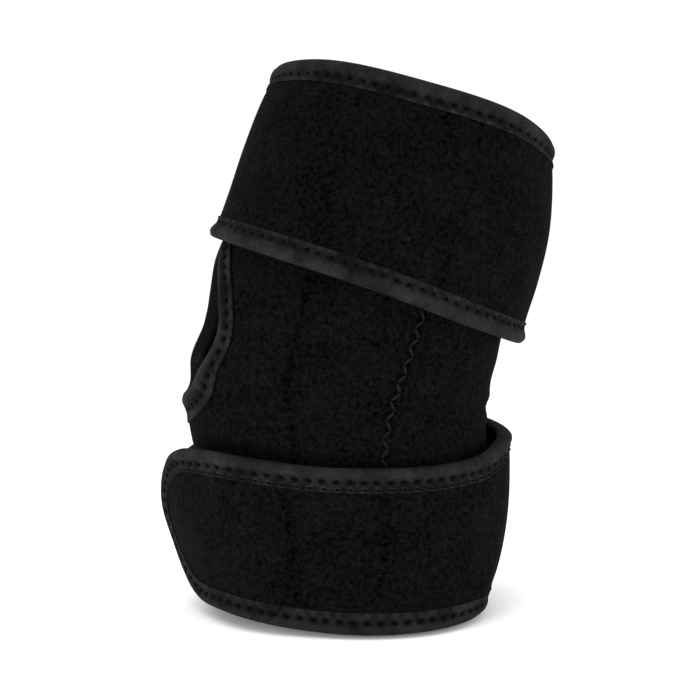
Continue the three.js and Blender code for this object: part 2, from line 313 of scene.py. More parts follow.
def cad_shift():
    """What moves the arm onto the CAD: the middle of the lower rim's box, there less here."""
    angles = np.arange(36) * 10.0
    rim = on_arm(angles, 0.0, HEM)
    here = (rim.min(axis=0) + rim.max(axis=0)) / 2
    low, high = (np.array(corner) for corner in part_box("lower_rim_binding"))
    shift = (low + high) / 2 - here * MM
    shift[2] = 0
    return shift


SHIFT = cad_shift()


def opening_outline(turn, growth):
    """A slightly squared ellipse that is broader below, grown along its normal and tilted:
    angle and along."""
    side, rise = (np.sign(v) * np.abs(v) ** OPENING_POWER for v in (np.cos(turn), np.sin(turn)))
    across = (1 - OPENING_TAPER * rise) * OPENING_WIDTH * side / 2
    up = OPENING_HEIGHT * rise / 2
    square = np.stack([across / OPENING_WIDTH**2, up / OPENING_HEIGHT**2])
    square /= np.linalg.norm(square, axis=0)
    across, up = across + growth * square[0], up + growth * square[1]
    tilt = np.radians(OPENING_TILT)
    turned = across * np.cos(tilt) - up * np.sin(tilt)
    raised = across * np.sin(tilt) + up * np.cos(tilt)
    return OPENING_ANGLE + np.degrees(turned / MEAN_RADIUS), OPENING_CENTRE + raised


def waves(u, v, length, seed):
    """Soft uneven waves, mostly from -1 to 1: twice the mean of a few sines of seeded
    directions, lengths and phases."""
    rng = np.random.default_rng(seed)
    total = np.zeros(np.broadcast(u, v).shape)
    for _ in range(SINES):
        turn, phase = rng.uniform(0, 2 * np.pi, 2)
        size = length * rng.uniform(0.7, 1.6)
        total += np.sin((u * np.cos(turn) + v * np.sin(turn)) * 2 * np.pi / size + phase)
    return total / (SINES / 2)


def seam_groove(angle, along, reach):
    """How near a place is to the two front seams: 1 on one, falling off over reach mm."""
    near = 0
    for side in ("left", "right"):
        away = angle_from(angle, smooth(SEAMS, "along", side, along))
        near = near + bell(np.radians(away) * MEAN_RADIUS, reach)
    return near


def wrap_length(wrap):
    """How far a wrap runs round the arm, at the sleeve's mean radius."""
    return np.radians(wrap["run"]["turned"][-1]) * MEAN_RADIUS


def wrap_column(wrap, column, run):
    """A column of a wrap's table at a place along its run."""
    return smooth(wrap["run"], "turned", column, np.degrees(run / MEAN_RADIUS))


def wrap_width(wrap, run):
    """The width of the cloth inside its tape, at a place along the run."""
    share = wrap_column(wrap, "elbow", run) - wrap_column(wrap, "rim", run)
    return share * wrap["width"] - 2 * HEM


def wrap_place(wrap, run, across):
    """The angle and the distance along the arm of a place on a wrap, and its share of the
    wrap's width: run mm from its root and across mm from its rim edge."""
    share = across / wrap_width(wrap, run)
    from_rim = HEM + wrap_column(wrap, "rim", run) * wrap["width"] + across
    along = SLEEVE_LENGTH - from_rim if wrap["upper"] else from_rim
    return wrap["root"] - np.degrees(run / MEAN_RADIUS), along, share


def on_wrap(wrap, run, across, offset):
    """A place on a wrap turned about the arm, with its lift and, past its root, one layer
    more."""
    angle, along, share = wrap_place(wrap, run, across)
    lift = wrap_column(wrap, "middle", run) * 4 * share * (1 - share)
    lift = lift + wrap_column(wrap, "edge", run) * share * (2 * share - 1)
    over_root = wrap["run"]["turned"][-1] - wrap["overlap"]
    layer = ease(np.degrees(run / MEAN_RADIUS), over_root - CLIMB, over_root)
    stand = CLEAR_OF_SLEEVE + lift * WRAP_LIFT + layer * CLEAR_OF_ROOT
    return on_arm(angle, along, stand + wrap_relief(wrap, angle, along, share) + offset)


def wrap_crease(wrap, angle, along):
    """How deep a place on a wrap lies in a crease: the seams that press through it, and on
    the lower wrap one short crease at the front."""
    crease = 0.28 * seam_groove(angle, along, 2.4)
    if not wrap["upper"]:
        crease = crease + 0.7 * bell(angle - CREASE_ANGLE, 1.1) * bell(along - CREASE_ALONG, 9)
    return crease


def wrap_relief(wrap, angle, along, share):
    """The wrap's soft waves, its creases and, on the lower one, a long soft fold where it
    turns to the right, in mm, level at both edges so that its tape lies as in the CAD."""
    u = np.radians(angle) * MEAN_RADIUS
    seed = 3 if wrap["upper"] else 7
    relief = WRAP_WAVE_HEIGHT * waves(u, along * 0.5, WRAP_WAVE_LENGTH, seed)
    relief = relief - 0.7 * wrap_crease(wrap, angle, along)
    if not wrap["upper"]:
        relief = relief + FOLD_HEIGHT * bell(angle - FOLD_ANGLE - FOLD_LEAN * along, 5.5)
    return np.clip(4 * share * (1 - share), 0, 1) * relief


def thinned(from_edge):
    """How far the stitching presses the cloth down under its tape, by distance from the edge."""
    return PRESSED * (1 - ease(from_edge, 5.0, 7.2))


def grid_faces(rows, columns, closed_rows, closed_columns):
    """The quads of a grid of vertices, row by row, joined round where it is closed."""
    i = np.arange(rows if closed_rows else rows - 1)[:, None]
    j = np.arange(columns if closed_columns else columns - 1)[None, :]
    a = i * columns + j
    b = i * columns + (j + 1) % columns
    c = (i + 1) % rows * columns + (j + 1) % columns
    d = (i + 1) % rows * columns + j
    return np.stack([a, b, c, d], axis=-1).reshape(-1, 4)


def make_piece(
    name, points, faces, uv, outward=None, crease=None, material=None, node=None
):
    """A mesh from points in mm and quads, with its flat place in metres as its UV map.
    Faces are turned outwards: by the sign of the volume, or towards outward where open.
    crease is painted shade at each point, from 0 to 1: deep in a crease or a stitch, or turned in
    towards the lining."""
    points = np.asarray(points, float).reshape(-1, 3) * MM + SHIFT
    faces = np.asarray(faces)
    a, b, c, d = (points[faces[:, k]] for k in range(4))
    square = np.cross(c - a, d - b)
    if outward is None:
        sign = np.einsum("ij,ij->", square, (a + b + c + d) / 4)
    else:
        sign = np.einsum("ij,ij->", square, np.asarray(outward, float).reshape(-1, 3)[faces[:, 0]])
    if sign < 0:
        faces = faces[:, ::-1]
    mesh = bpy.data.meshes.new(name)
    mesh.vertices.add(len(points))
    mesh.vertices.foreach_set("co", points.ravel())
    mesh.loops.add(faces.size)
    mesh.loops.foreach_set("vertex_index", faces.ravel())
    mesh.polygons.add(len(faces))
    mesh.polygons.foreach_set("loop_start", np.arange(len(faces)) * 4)
    mesh.polygons.foreach_set("use_smooth", np.ones(len(faces), bool))
    layer = mesh.uv_layers.new(name="Cloth")
    layer.data.foreach_set("uv", (np.asarray(uv, float).reshape(-1, 2)[faces.ravel()] * MM).ravel())
    if crease is not None:
        layer = mesh.attributes.new("Crease", "FLOAT", "POINT")
        layer.data.foreach_set("value", np.clip(np.asarray(crease, float).ravel(), 0, 1))
    mesh.update()
    mesh.validate()
    piece = bpy.data.objects.new(name, mesh)
    bpy.context.scene.collection.objects.link(piece)
    mesh.materials.append(material)
    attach(piece, "root")
    if node:
        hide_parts(node)
    return piece


def rgb(hex_colour):
    """A linear colour from an sRGB hex value."""
    srgb = np.array([int(hex_colour[i : i + 2], 16) / 255 for i in (1, 3, 5)])
    linear = np.where(srgb <= 0.04045, srgb / 12.92, ((srgb + 0.055) / 1.055) ** 2.4)
    return (*linear.tolist(), 1.0)


def new_material(name):
    """A material with its node tree and its shader."""
    material = bpy.data.materials.new(name)
    material.use_nodes = True
    tree = material.node_tree
    return material, tree, tree.nodes["Principled BSDF"]


def add_node(tree, kind, settings=None, inputs=None, **links):
    """A node with its settings, its input values, and links by input name."""
    node = tree.nodes.new(kind)
    for key, value in (settings or {}).items():
        setattr(node, key, value)
    for key, value in (inputs or {}).items():
        node.inputs[key].default_value = value
    for key, source in links.items():
        tree.links.new(source, node.inputs[key.replace("_", " ")])
    return node


def object_place(tree):
    return add_node(tree, "ShaderNodeTexCoord").outputs["Object"]


def cloth_place(tree):
    return add_node(tree, "ShaderNodeUVMap", {"uv_map": "Cloth"}).outputs["UV"]


def noise(tree, place, size, detail, roughness=0.5):
    """Noise whose grain is about size metres."""
    inputs = {"Scale": 1 / size, "Detail": detail, "Roughness": roughness}
    return add_node(tree, "ShaderNodeTexNoise", None, inputs, Vector=place).outputs["Fac"]


def weighted(tree, value, amount, plus):
    """A value times an amount, plus another value."""
    node = add_node(tree, "ShaderNodeMath", {"operation": "MULTIPLY_ADD"}, {1: amount})
    tree.links.new(value, node.inputs[0])
    tree.links.new(plus, node.inputs[2])
    return node.outputs[0]


def less_crease(tree, value, amount):
    """A value less the piece's own Crease attribute times an amount: light stays out of
    the creases."""
    crease = add_node(tree, "ShaderNodeAttribute", {"attribute_name": "Crease"})
    return weighted(tree, crease.outputs["Fac"], -amount, value)


def shaded(tree, shader, shade, dark, light, start=0.0):
    """Colours the shader from dark to light as the shade goes from start to 1."""
    ramp = add_node(tree, "ShaderNodeValToRGB", None, None, Fac=shade)
    low, high = ramp.color_ramp.elements
    low.position, low.color = start, rgb(dark)
    high.position, high.color = 1.0, rgb(light)
    tree.links.new(ramp.outputs["Color"], shader.inputs["Base Color"])


def bumped(tree, shader, height, strength, distance):
    """Bumps the shader by a height, distance metres at most."""
    inputs = {"Strength": strength, "Distance": distance}
    bump = add_node(tree, "ShaderNodeBump", None, inputs, Height=height)
    tree.links.new(bump.outputs["Normal"], shader.inputs["Normal"])


def loop_fabric(colours):
    """Brushed nylon loop on foam: a deep black pile of fine loops. The loops scatter light
    at grazing angles, so it is paler near its outline, and it is matt everywhere."""
    material, tree, shader = new_material("Brushed loop fabric")
    place = object_place(tree)
    # Tufts of loops are about 1.5 mm across and shade one another
    tufts = noise(tree, place, 0.0016, 2.5, 0.65)
    cells = add_node(
        tree, "ShaderNodeTexVoronoi", {"feature": "F1"}, {"Scale": 1 / 0.0012}, Vector=place
    )
    # The nap lies one way or another over patches of about 14 mm
    nap = noise(tree, place, 0.014, 2.0)
    speckle = weighted(tree, cells.outputs["Color"], 0.2, tufts)
    patches = weighted(tree, nap, 0.3, speckle)
    # Painted shade: the pile is darker where the Crease attribute marks a crease or seam groove
    shade = less_crease(tree, patches, 0.25)
    shaded(tree, shader, shade, colours.loop_dark, colours.loop_light, 0.5)
    bumped(tree, shader, speckle, 0.8, 0.0007)
    shader.inputs["Roughness"].default_value = 0.95
    shader.inputs["Specular IOR Level"].default_value = 0.013
    shader.inputs["Sheen Weight"].default_value = 0.004
    shader.inputs["Sheen Roughness"].default_value = 0.45
    shader.inputs["Sheen Tint"].default_value = rgb("#c9ccd2")
    return material


def binding_tape(colours):
    """Folded polyester knit tape: a paler, smoother black than the pile, with a fine knit
    whose courses run across it, so it takes a soft even highlight."""
    material, tree, shader = new_material("Polyester binding tape")
    cloth = cloth_place(tree)
    place = object_place(tree)
    # Courses of the knit are 0.8 mm apart; each shows as a fine cross rib
    courses = add_node(
        tree,
        "ShaderNodeTexWave",
        {"wave_type": "BANDS", "bands_direction": "X", "wave_profile": "SIN"},
        {"Scale": WAVE / 0.0008, "Distortion": 1.2, "Detail": 2.0, "Detail Scale": 1.5},
        Vector=cloth,
    )
    fuzz = noise(tree, place, 0.0016, 3.0)
    wear = noise(tree, place, 0.009, 2.0)
    # Painted shade: the tape is darker in its dimples, grooves and puffed hem, and where it turns
    # in towards the lining
    shade = less_crease(tree, weighted(tree, fuzz, 0.5, wear), 0.42)
    shaded(tree, shader, shade, colours.tape_dark, colours.tape_light, 0.45)
    relief = add_node(tree, "ShaderNodeMath", {"operation": "ADD"})
    tree.links.new(courses.outputs["Fac"], relief.inputs[0])
    tree.links.new(fuzz, relief.inputs[1])
    bumped(tree, shader, relief.outputs[0], 0.5, 0.0003)
    shader.inputs["Roughness"].default_value = 0.85
    shader.inputs["Specular IOR Level"].default_value = 0.03
    shader.inputs["Sheen Weight"].default_value = 0.005
    shader.inputs["Sheen Roughness"].default_value = 0.5
    shader.inputs["Sheen Tint"].default_value = rgb("#d0d2d6")
    return material


def stitch_thread(colours):
    """Twisted polyester sewing thread, darker than the tape that it sinks into: its own black, and
    painted shade of the dimple that it lies in.
    """
    material, tree, shader = new_material("Polyester thread")
    twist = noise(tree, object_place(tree), 0.0004, 1.0)
    shaded(tree, shader, twist, colours.thread_dark, colours.thread_light)
    bumped(tree, shader, twist, 0.4, 0.0001)
    shader.inputs["Roughness"].default_value = 1.0
    shader.inputs["Specular IOR Level"].default_value = 0.01
    return material


def seam_thread(colours):
    """The thicker zigzag thread of the sleeve's right front seam, paler than the pile."""
    material, tree, shader = new_material("Seam thread")
    twist = noise(tree, object_place(tree), 0.0005, 1.0)
    bumped(tree, shader, twist, 0.5, 0.0002)
    shader.inputs["Base Color"].default_value = rgb(colours.seam_thread)
    shader.inputs["Roughness"].default_value = 0.8
    shader.inputs["Specular IOR Level"].default_value = 0.08
    return material


def jersey_lining(colours):
    """Thin jersey laid over the foam inside: flat dark black, with fine wales 0.6 mm apart."""
    material, tree, shader = new_material("Jersey lining")
    wales = add_node(
        tree,
        "ShaderNodeTexWave",
        {"bands_direction": "X"},
        {"Scale": WAVE / 0.0006, "Distortion": 0.6},
        Vector=cloth_place(tree),
    )
    bumped(tree, shader, wales.outputs["Fac"], 0.3, 0.0002)
    shader.inputs["Base Color"].default_value = rgb(colours.lining)
    shader.inputs["Roughness"].default_value = 1.0
    shader.inputs["Specular IOR Level"].default_value = 0.01
    return material


def material_of(name):
    """A material of the brace, made once."""
    makers = {
        "Brushed loop fabric": loop_fabric,
        "Polyester binding tape": binding_tape,
        "Polyester thread": stitch_thread,
        "Seam thread": seam_thread,
        "Jersey lining": jersey_lining,
    }
    return bpy.data.materials.get(name) or makers[name](bpy.context.scene.brace_colours)


def tape_profile(inner, outer):
    """The outline of a folded tape's section, as insets from the edge and offsets: out along
    the outer leg, round the fold on two arcs, back along the inner leg, and in again. The
    legs stand off the cloth at the fold, by the padding rolled into it, and thin down onto
    the cloth at their hems."""
    fold = FOLD_RADIUS - HEM
    leg = np.linspace(TAPE_COVER, fold, LEG_POINTS)
    back = np.linspace(fold, TAPE_COVER, BACK_POINTS + 1)[1:]
    arc = np.linspace(0, np.pi / 2, ARC_POINTS + 1)[1:]
    top, low = outer + HEM, inner - HEM
    hem = TAPE_COVER + 0.2
    inset = [
        leg,
        fold - FOLD_RADIUS * np.sin(arc),
        [-HEM],
        fold - FOLD_RADIUS * np.cos(arc[:-1]),
        [fold],
        back,
        [hem, TAPE_COVER, -SLACK, -SLACK, TAPE_COVER, hem],
    ]
    offset = [
        outer + leg_height(leg),
        top - FOLD_RADIUS + FOLD_RADIUS * np.cos(arc),
        [(top + low) / 2],
        low + FOLD_RADIUS - FOLD_RADIUS * np.sin(arc[:-1]),
        [low],
        inner - leg_height(back),
        [inner - 0.25, inner - 0.05, inner - SLACK, outer + SLACK, outer + 0.05, outer + 0.25],
    ]
    return np.concatenate(inset), np.concatenate(offset)


def leg_height(inset):
    """How high the outer leg stands over the cloth at an inset: the hem's height at the fold,
    thinning down towards its own hem."""
    return HEM - (HEM - THIN_HEM) * ease(inset, 1.6, 6.0)


def stitch_places(line, pitch):
    """Where stitches fall on a closed line of points: the distance run at each point, the
    whole length, and the distance of each stitch, evenly spaced near the pitch."""
    step = np.linalg.norm(np.roll(line, -1, axis=0) - line, axis=1)
    run = np.concatenate([[0], np.cumsum(step)[:-1]])
    count = max(3, round(step.sum() / pitch))
    return run, step.sum(), (np.arange(count) + 0.5) * step.sum() / count


def along_line(line, run, total, places):
    """The points of a closed line at given distances run along it."""
    wrapped = np.concatenate([line, line[:1]])
    distance = np.concatenate([run, [total]])
    return np.stack([np.interp(places % total, distance, wrapped[:, k]) for k in range(3)], axis=-1)


def stitches(name, centres, tangents, squares, length, width, height, thread="Polyester thread"):
    """Short sunk stitches, all one shape: rings of an ellipsoid with flat ends, laid along
    each tangent, with its height square to the cloth."""
    turn = np.arange(STITCH_ROUND) * 2 * np.pi / STITCH_ROUND
    rise = np.linspace(-1, 1, STITCH_RINGS)
    ring = np.sqrt(1 - rise**2 * 0.98)
    shape = np.stack(
        [
            np.broadcast_to(rise[:, None] * length / 2, (STITCH_RINGS, STITCH_ROUND)),
            ring[:, None] * np.cos(turn) * width / 2,
            ring[:, None] * np.sin(turn) * height / 2,
        ],
        axis=-1,
    ).reshape(-1, 3)
    tangents = tangents / np.linalg.norm(tangents, axis=1, keepdims=True)
    sides = np.cross(squares, tangents)
    sides /= np.linalg.norm(sides, axis=1, keepdims=True)
    ups = np.cross(tangents, sides)
    axes = np.stack([tangents, sides, ups], axis=1)
    points = centres[:, None, :] + np.einsum("vk,nkc->nvc", shape, axes)
    # Three quads close the eight points of each end
    cap = np.array([[0, 1, 2, 3], [0, 3, 4, 7], [4, 5, 6, 7]])
    last_ring = STITCH_ROUND * (STITCH_RINGS - 1)
    faces = np.concatenate(
        [
            grid_faces(STITCH_RINGS, STITCH_ROUND, False, True),
            cap[:, ::-1],
            cap + last_ring,
        ]
    )
    faces = (faces[None] + np.arange(len(centres))[:, None, None] * len(shape)).reshape(-1, 4)
    uv = np.zeros((points.size // 3, 2))
    return make_piece(name, points, faces, uv, material=material_of(thread))


def bind_edge(name, node, place, count, inner, outer, rows, shade_from=None):
    """A folded tape round an edge. place gives the points for stations, insets and offsets.
    Each row of stitches, at an inset from the edge and over the stations where it is kept,
    draws the outer leg in by small dimples, and its threads lie in them. Its Crease attribute
    is painted shade: in the dimples, along the rows and on the hem between stitches, and
    from a given point of the section on, where the tape turns in towards the lining."""
    sizes = bpy.context.scene.brace_sizes
    dimple_depth = sizes.dimple_depth / MM
    station = np.arange(count)
    inset, offset = tape_profile(inner, outer)
    outside = np.zeros(len(inset), bool)
    outside[:LEG_POINTS] = True
    depth, creep, crease = (np.zeros((count, len(inset))) for _ in range(3))
    # From this point of the section on the tape is painted dark: painted shade where it turns in
    # towards the lining
    if shade_from:
        crease[:, shade_from:] = 1.0
    runs = []
    for row, kept in rows:
        line = place(station, np.full(count, row), np.full(count, outer + HEM))
        run, total, at = stitch_places(line, sizes.stitch_pitch / MM)
        step = total / len(at)
        away = (run / step) % 1 - 0.5
        held = outside * kept[:, None]
        across = (inset - row)[None, :]
        dimple = bell(away[:, None] * step, DIMPLE_RUN) * bell(across, DIMPLE_REACH)
        depth += held * (dimple * dimple_depth + GROOVE * bell(across, GROOVE_REACH))
        # Painted shade in each dimple and along the row
        crease += held * (0.95 * dimple + 0.5 * bell(across, 1.6))
        # Between stitches the hem puffs up and creeps outwards
        hem = ease(inset, row, TAPE_COVER)[None, :]
        puff = held * hem * (0.5 - 0.5 * np.cos(2 * np.pi * (away + 0.5)))[:, None]
        depth += -HEM_PUFF * (held - puff) * hem
        creep += HEM_CREEP * puff
        # Painted shade on the hem between stitches, where it puffs up
        crease += 0.45 * (held - puff) * hem
        jitter = np.random.default_rng(len(runs)).uniform(-STITCH_JITTER, STITCH_JITTER, len(at))
        at = at + jitter
        at = at[kept[np.clip(np.searchsorted(run, at), 0, count - 1)]]
        runs.append((row, run, total, at))
    # The padding rolled into the fold makes it fuller, unevenly along its run
    first_run = runs[0][1]
    roll = outside * bell(inset - 1.2, 1.5)
    full = (0.25 + 0.15 * waves(first_run, np.zeros(count), 31, len(name)))[:, None] * roll
    shape = place(station[:, None], inset[None, :] - creep, offset[None, :] - depth + full)
    uv = np.stack(np.broadcast_arrays(first_run[:, None], inset[None, :]), axis=-1)
    tape = make_piece(
        name,
        shape,
        grid_faces(count, len(inset), True, True),
        uv,
        crease=crease,
        material=material_of("Polyester binding tape"),
        node=node,
    )
    centres, tangents, squares = [], [], []
    for row, run, total, at in runs:
        sunk = outer + leg_height(row) - GROOVE - dimple_depth + STITCH_RISE
        lower = place(station, np.full(count, row), np.full(count, sunk))
        higher = place(station, np.full(count, row), np.full(count, sunk + 1.0))
        before, middle, after = (along_line(lower, run, total, at + k) for k in (-0.6, 0, 0.6))
        centres.append(middle)
        tangents.append(after - before)
        squares.append(along_line(higher, run, total, at) - middle)
    threads = stitches(
        f"{name}_stitches",
        np.concatenate(centres),
        np.concatenate(tangents),
        np.concatenate(squares),
        sizes.stitch_length / MM,
        STITCH_WIDTH,
        STITCH_HEIGHT,
    )
    return tape, threads


def seam_line(angle, along, pitch, spread):
    """Points up an open line of angles and distances, one each pitch, that step spread mm
    to the left and the right of it by turns: their angles and distances along."""
    line = on_arm(angle, along, 0.0)
    run = np.concatenate([[0], np.cumsum(np.linalg.norm(np.diff(line, axis=0), axis=1))])
    at = np.arange(0, run[-1], pitch)
    side = np.where(np.arange(len(at)) % 2 == 0, -1.0, 1.0)
    turned = side * np.degrees(spread / MEAN_RADIUS)
    return np.interp(at, run, angle) + turned, np.interp(at, run, along)


def zigzag_seam(name, angle, along, pitch, spread):
    """A zigzag of pale thread from needle hole to needle hole, and at the holes dark blobs of
    thread, painted shade in them.
    """
    a, s = seam_line(angle, along, pitch, spread)
    threads = on_arm(a, s, -0.05)
    middle = (threads[1:] + threads[:-1]) / 2
    square = on_arm(a, s, 1.0) - on_arm(a, s, 0.0)
    step = threads[1:] - threads[:-1]
    length = float(np.linalg.norm(step, axis=1).mean())
    squares = square[1:] + square[:-1]
    stitches(f"{name}_thread", middle, step, squares, length, 1.25, 0.85, "Seam thread")
    # At the holes, a little outside the turns of the thread, dark blobs of thread paint the shade
    # in them
    a, s = seam_line(angle, along, pitch, spread * 1.45)
    hole_shades = on_arm(a, s, 0.0)
    up = on_arm(a, s + 1.0, 0.0) - hole_shades
    stitches(f"{name}_holes", hole_shades, up, square, 1.7, 1.2, 0.7)


def faint_seam(name, angle, along, pitch):
    """Small dark stitches sunk in the pile along a line."""
    a, s = seam_line(angle, along, pitch, 0.0)
    centres = on_arm(a, s, -0.5)
    up = on_arm(a, s + 1.0, -0.5) - centres
    square = on_arm(a, s, 0.5) - centres
    stitches(name, centres, up, square, 1.8, 0.8, 0.7)


class BraceSizes(bpy.types.PropertyGroup):
    stitch_pitch: FloatProperty(
        name="Stitch Pitch",
        description="Distance from one stitch of the binding to the next",
        default=0.0050,
        min=0.001,
        unit="LENGTH",
    )
    stitch_length: FloatProperty(
        name="Stitch Length",
        description="Length of thread that shows in each stitch",
        default=0.0021,
        unit="LENGTH",
    )
    dimple_depth: FloatProperty(
        name="Dimple Depth",
        description="How far a stitch draws the tape in",
        default=0.0007,
        unit="LENGTH",
    )
    camera_distance: FloatProperty(
        name="Camera Distance",
        description="From the camera to the middle of the brace",
        default=0.5,
        unit="LENGTH",
    )
    camera_elevation: FloatProperty(
        name="Camera Elevation",
        description="Angle that the camera looks down by",
        default=np.radians(3.0),
        unit="ROTATION",
    )


def hex_property(name, default, description):
    """A colour kept as an sRGB hex value."""
    return StringProperty(name=name, default=default, description=f"{description}, sRGB hex")


class BraceColours(bpy.types.PropertyGroup):
    loop_dark: hex_property("Loop Dark", "#000000", "Between the tufts")
    loop_light: hex_property("Loop Light", "#0e0e0f", "On the tufts")
    # Painted shade in the tape's dimples, grooves and folds takes it towards its dark colour
    tape_dark: hex_property("Tape Dark", "#09090a", "Binding tape in its folds")
    tape_light: hex_property("Tape Light", "#212122", "Binding tape where it is worn")
    thread_dark: hex_property("Thread Dark", "#030303", "Thread in its twist")
    thread_light: hex_property("Thread Light", "#080808", "Thread on its twist")
    seam_thread: hex_property("Seam Thread", "#0b0b0c", "Zigzag of the sleeve's seam")
    lining: hex_property("Lining", "#060606", "Jersey inside the sleeve")
    floor: FloatVectorProperty(
        name="Floor",
        description="Colour of the floor",
        default=(0.985, 0.985, 0.985),
        subtype="COLOR",
    )


class BRACE_OT_sleeve(bpy.types.Operator):
    """Builds the bent sleeve, open at both ends and at the point of the elbow"""

    bl_idname = "brace.sleeve"
    bl_label = "Build Sleeve"

    def execute(self, context):
        angle = np.arange(SLEEVE_STEPS) * 360 / SLEEVE_STEPS
        along = np.linspace(HEM, SLEEVE_LENGTH - HEM, SLEEVE_ROWS)
        a, s = np.meshgrid(angle, along, indexing="ij")
        u = np.radians(a) * MEAN_RADIUS
        from_rim = np.minimum(s, SLEEVE_LENGTH - s)
        # The cloth creases softly across the inner side of the bend
        bend = bell(a - BEND_ANGLE, 45) * bell(s - BEND_ALONG, 20)
        wavy = np.clip((from_rim - STILL_RIM) / STILL_FADE, 0, 1)
        cloth = (
            WAVE_HEIGHT * waves(u, s * 0.6, WAVE_LENGTH, 11) * wavy
            + bend * 0.5 * np.sin(s * 2 * np.pi / BEND_PITCH + a / 30)
            - SEAM_DEPTH * seam_groove(a, s, 1.6)
            + SEAM_PUFF * seam_groove(a, s, 5.0)
            - thinned(from_rim - HEM)
        )
        points = on_arm(a, s, cloth)
        faces = grid_faces(SLEEVE_STEPS, SLEEVE_ROWS, True, False)
        # The opening is cut out of the grid, under its tape
        centre_a = angle_from(a.ravel()[faces[:, 0]] + 180 / SLEEVE_STEPS, 0)
        centre_s = s.ravel()[faces].mean(axis=1)
        turn = np.arange(OPENING_STEPS) * 2 * np.pi / OPENING_STEPS
        hole = opening_outline(turn, OPENING_CUT)
        faces = faces[~inside_outline(centre_a, centre_s, *hole)]
        sleeve = make_piece(
            "Sleeve",
            points,
            faces,
            np.stack([u, s], axis=-1),
            outward=on_arm(a, s, cloth + 1.0) - points,
            # Painted shade along the seams' grooves
            crease=0.5 * seam_groove(a, s, 1.5),
            material=material_of("Brushed loop fabric"),
            node="sleeve",
        )
        wall = sleeve.modifiers.new("Foam", "SOLIDIFY")
        wall.thickness = SLEEVE_WALL * MM
        wall.offset = -1
        wall.material_offset = 1
        sleeve.data.materials.append(material_of("Jersey lining"))
        # Both front seams show between the wraps
        s = np.linspace(58, 140, 200)
        zigzag_seam("Sleeve_right_seam", smooth(SEAMS, "along", "right", s), s, 3.5, 1.3)
        faint_seam("Sleeve_left_seam", smooth(SEAMS, "along", "left", s), s, 3.2)
        return {"FINISHED"}


def inside_outline(a, s, hole_a, hole_s):
    """Which places lie inside a closed outline: those from which a ray along the angle
    crosses it an odd number of times."""
    a1, s1 = hole_a[None, :], hole_s[None, :]
    a2, s2 = np.roll(hole_a, -1)[None, :], np.roll(hole_s, -1)[None, :]
    near = (np.abs(s - OPENING_CENTRE) < OPENING_HEIGHT) & (np.abs(a - OPENING_ANGLE) < 90)
    found = np.zeros(len(a), bool)
    pa, ps = a[near][:, None], s[near][:, None]
    spans = (s1 > ps) != (s2 > ps)
    cut = a1 + (ps - s1) * (a2 - a1) / np.where(s2 == s1, 1e-9, s2 - s1)
    found[near] = (spans & (pa < cut)).sum(axis=1) % 2 == 1
    return found


class BRACE_OT_rims(bpy.types.Operator):
    """Binds the two rims of the sleeve and the elbow opening with folded tape"""

    bl_idname = "brace.rims"
    bl_label = "Bind Sleeve Edges"

    def execute(self, context):
        def lower(station, inset, offset):
            return on_arm(station * 360 / RIM_STEPS, HEM + inset, offset)

        def upper(station, inset, offset):
            return on_arm(station * 360 / RIM_STEPS, SLEEVE_LENGTH - HEM - inset, offset)

        def opening(station, inset, offset):
            angle, along = opening_outline(station * 2 * np.pi / OPENING_STEPS, inset)
            return on_arm(angle, along, offset)

        # The tape is painted dark from its inner leg on at the rims, and from just past the top of
        # its fold at the opening: painted shade inside the sleeve
        for name, place, count, row, shade_from in (
            ("Lower_rim_binding", lower, RIM_STEPS, RIM_ROW, INNER_LEG),
            ("Upper_rim_binding", upper, RIM_STEPS, RIM_ROW, INNER_LEG),
            ("Elbow_opening_binding", opening, OPENING_STEPS, OPENING_ROW, FOLD_TOP),
        ):
            rows = [(row, np.ones(count, bool))]
            bind_edge(name, name.lower(), place, count, -SLEEVE_WALL, 0, rows, shade_from)
        return {"FINISHED"}


def wrap_perimeter(wrap):
    """Stations round a wrap's edge: where each starts in its run, its share of the width
    and millimetres from there, and how each of the last two moves as it is drawn in."""
    length = wrap_length(wrap)
    width = wrap_width(wrap, length / 2)
    straight = length - ROOT_CORNER - END_CORNER
    side = np.linspace(0, 1, round(straight / EDGE_SPACING))[:-1]
    quarter, end = {}, {}
    for r in (ROOT_CORNER, END_CORNER):
        steps = max(5, round(r * np.pi / 2 / EDGE_SPACING))
        quarter[r] = np.linspace(0, np.pi / 2, steps)[:-1]
        end[r] = np.linspace(0, 1, max(4, round((width - 2 * r) / EDGE_SPACING)))[:-1]
    parts = []

    def add(run, share, more, run_in, more_in):
        parts.append(np.stack(np.broadcast_arrays(run, share, more, run_in, more_in)))

    far, near = length - END_CORNER, ROOT_CORNER
    add(near + side * (far - near), 0, 0, 0, 1)
    q = quarter[END_CORNER]
    add(far + END_CORNER * np.sin(q), 0, END_CORNER * (1 - np.cos(q)), -np.sin(q), np.cos(q))
    t = end[END_CORNER]
    add(length, t, END_CORNER * (1 - 2 * t), -1, 0)
    add(far + END_CORNER * np.cos(q), 1, -END_CORNER * (1 - np.sin(q)), -np.cos(q), -np.sin(q))
    add(far - side * (far - near), 1, 0, 0, -1)
    q = quarter[ROOT_CORNER]
    add(near - ROOT_CORNER * np.sin(q), 1, -ROOT_CORNER * (1 - np.cos(q)), np.sin(q), -np.cos(q))
    t = 1 - end[ROOT_CORNER]
    add(0, t, ROOT_CORNER * (1 - 2 * t), 1, 0)
    add(near - ROOT_CORNER * np.cos(q), 0, ROOT_CORNER * (1 - np.sin(q)), np.cos(q), np.sin(q))
    return np.concatenate(parts, axis=1)


